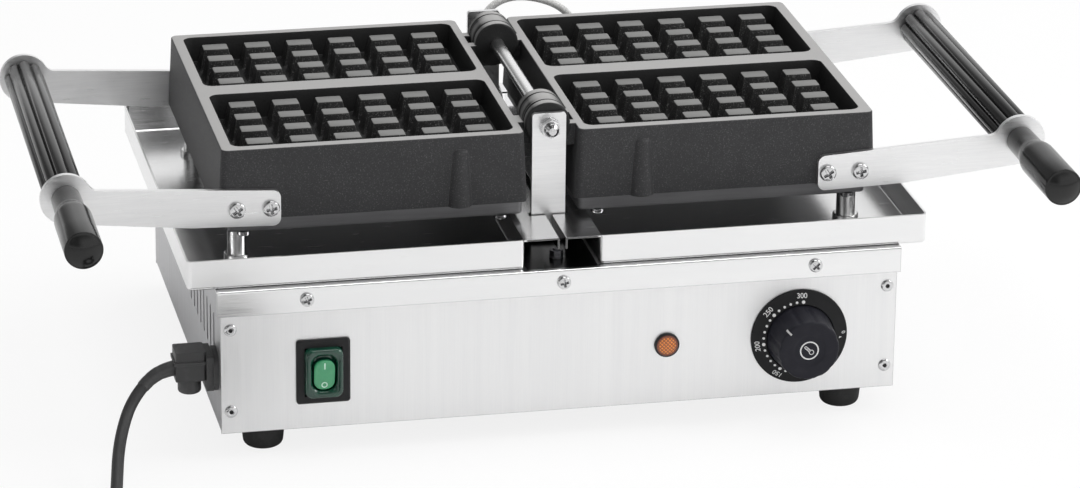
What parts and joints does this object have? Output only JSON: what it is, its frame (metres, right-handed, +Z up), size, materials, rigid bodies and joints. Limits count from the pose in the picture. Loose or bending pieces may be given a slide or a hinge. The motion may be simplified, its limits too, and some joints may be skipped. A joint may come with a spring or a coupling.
{
  "type": "double waffle iron",
  "caption": "Countertop double waffle iron lying open, with drip trays, fluted handles, thermostat and mains switch.",
  "frame": {"origin": "on the table, below the middle of the object without its mains lead", "axes": "+X to the right seen from the front, +Y to the back, +Z up"},
  "size_m": [0.5948, 0.4797, 0.1891],
  "materials": {
    "steel_panel": "vertical brushed grain",
    "steel_side": "fine brushed sheet",
    "steel_bright": "bright rolled sheet",
    "steel_axle": "ground bright bar",
    "zinc_screw": "bright plated",
    "dark_screw": "dark plated",
    "iron_casting": "sand-cast, seasoned",
    "iron_stud": "ground tops on seasoned iron",
    "arm_steel": "flat bar, brushed",
    "grip_black": "polished",
    "knob_black": "fine satin",
    "rubber_black": "matt",
    "gland_black": "moulded",
    "cord_black": "matt sheath",
    "rocker_green": "clear tinted",
    "switch_black": "moulded",
    "lamp_amber": "faceted, tinted",
    "dial_black": "satin print ring",
    "element_steel": "oxidised tube",
    "board_white": "pressed fibre",
    "sleeve_pale": "braided glass sleeve",
    "block_white": "moulded",
    "pin_nickel": "nickel plated"
  },
  "bodies": {
    "root": {"base_pan": "steel_side", "front_panel": "steel_panel", "rear_panel": "steel_panel", "base_cover": "steel_bright", "panel_rivets": "zinc_screw", "cover_screws": "zinc_screw", "feet": "rubber_black", "foot_screws": "zinc_screw", "left_tray": "steel_bright", "right_tray": "steel_bright", "rest_posts": "steel_axle", "post_nuts": "zinc_screw", "front_bracket": "arm_steel", "rear_bracket": "arm_steel", "bracket_fasteners": "dark_screw", "axle_rod": "steel_axle", "axle_fasteners": "zinc_screw", "switch_housing": "switch_black", "lamp_housing": "switch_black", "lamp_lens": "lamp_amber", "thermostat_body": "switch_black", "thermostat_screws": "zinc_screw", "dial_ring": "dial_black", "terminal_block": "block_white", "cord_gland": "gland_black", "gland_nut": "gland_black", "mains_cord": "cord_black", "cord_coil": "cord_black", "mains_plug": "cord_black", "plug_pins": "pin_nickel", "sleeve_grommets": "rubber_black", "left_sleeve": "sleeve_pale", "right_sleeve": "sleeve_pale"},
    "left_half": {"left_casting": "iron_casting", "left_studs": "iron_stud", "left_heating_element": "element_steel", "left_insulation_board": "board_white", "left_heater_cover": "steel_side", "left_heater_cover_screws": "zinc_screw", "left_front_arm": "arm_steel", "left_rear_arm": "arm_steel", "left_arm_screws": "zinc_screw", "left_handle_rod": "steel_axle", "left_handle_grip": "grip_black", "left_grip_end": "grip_black"},
    "right_half": {"right_casting": "iron_casting", "right_studs": "iron_stud", "right_heating_element": "element_steel", "right_insulation_board": "board_white", "right_heater_cover": "steel_side", "right_heater_cover_screws": "zinc_screw", "right_front_arm": "arm_steel", "right_rear_arm": "arm_steel", "right_arm_screws": "zinc_screw", "right_handle_rod": "steel_axle", "right_handle_grip": "grip_black", "right_grip_end": "grip_black"},
    "rocker": {"switch_rocker": "rocker_green"},
    "thermostat_knob": {"knob": "knob_black", "thermostat_shaft": "steel_axle"}
  },
  "joints": [
    {"name": "left_half_hinge", "type": "hinge", "parent": "root", "child": "left_half", "pos_m": [0, 0.02828, 0.1758], "axis": [0, 1, 0], "range_deg": [0, 180], "deforming": ["left_sleeve"]},
    {"name": "right_half_hinge", "type": "hinge", "parent": "root", "child": "right_half", "pos_m": [0, 0.02828, 0.1758], "axis": [0, -1, 0], "range_deg": [0, 180], "deforming": ["right_sleeve"]},
    {"name": "thermostat_turn", "type": "hinge", "parent": "root", "child": "thermostat_knob", "pos_m": [0.1415, -0.11348, 0.05215], "axis": [0, 1, 0], "range_deg": [-224, 46]},
    {"name": "switch_tip", "type": "hinge", "parent": "root", "child": "rocker", "pos_m": [-0.1408, -0.11248, 0.0511], "axis": [1, 0, 0], "range_deg": [-14, 0]}
  ]
}
